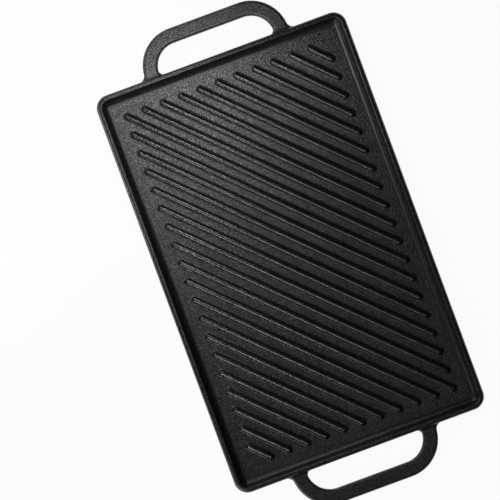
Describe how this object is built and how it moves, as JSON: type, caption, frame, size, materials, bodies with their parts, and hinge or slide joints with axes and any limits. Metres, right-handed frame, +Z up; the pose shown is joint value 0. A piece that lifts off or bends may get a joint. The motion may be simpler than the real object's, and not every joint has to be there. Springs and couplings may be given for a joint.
{
  "type": "reversible cast iron grill pan",
  "caption": "Flat rectangular cast iron grill pan: diagonal ribs on one face, smooth griddle face on the other, a raised rim all round and a loop handle at each end.",
  "frame": {"origin": "centre of the plate, on the surface that the rim rests on with the ribbed face up", "axes": "+X along the plate towards handle_right, +Y across it, +Z up out of the ribbed face"},
  "size_m": [0.508, 0.267, 0.0185],
  "materials": {
    "cooking_plate": "black seasoned cast iron, matt, with a fine pebbled casting skin",
    "rim": "black seasoned cast iron, satin on its rounded edges",
    "handles": "black seasoned cast iron, matt, with softly polished edges"
  },
  "bodies": {
    "root": {"cooking_plate": "cooking_plate", "rim": "rim", "handle_left": "handles", "handle_right": "handles"}
  },
  "joints": []
}
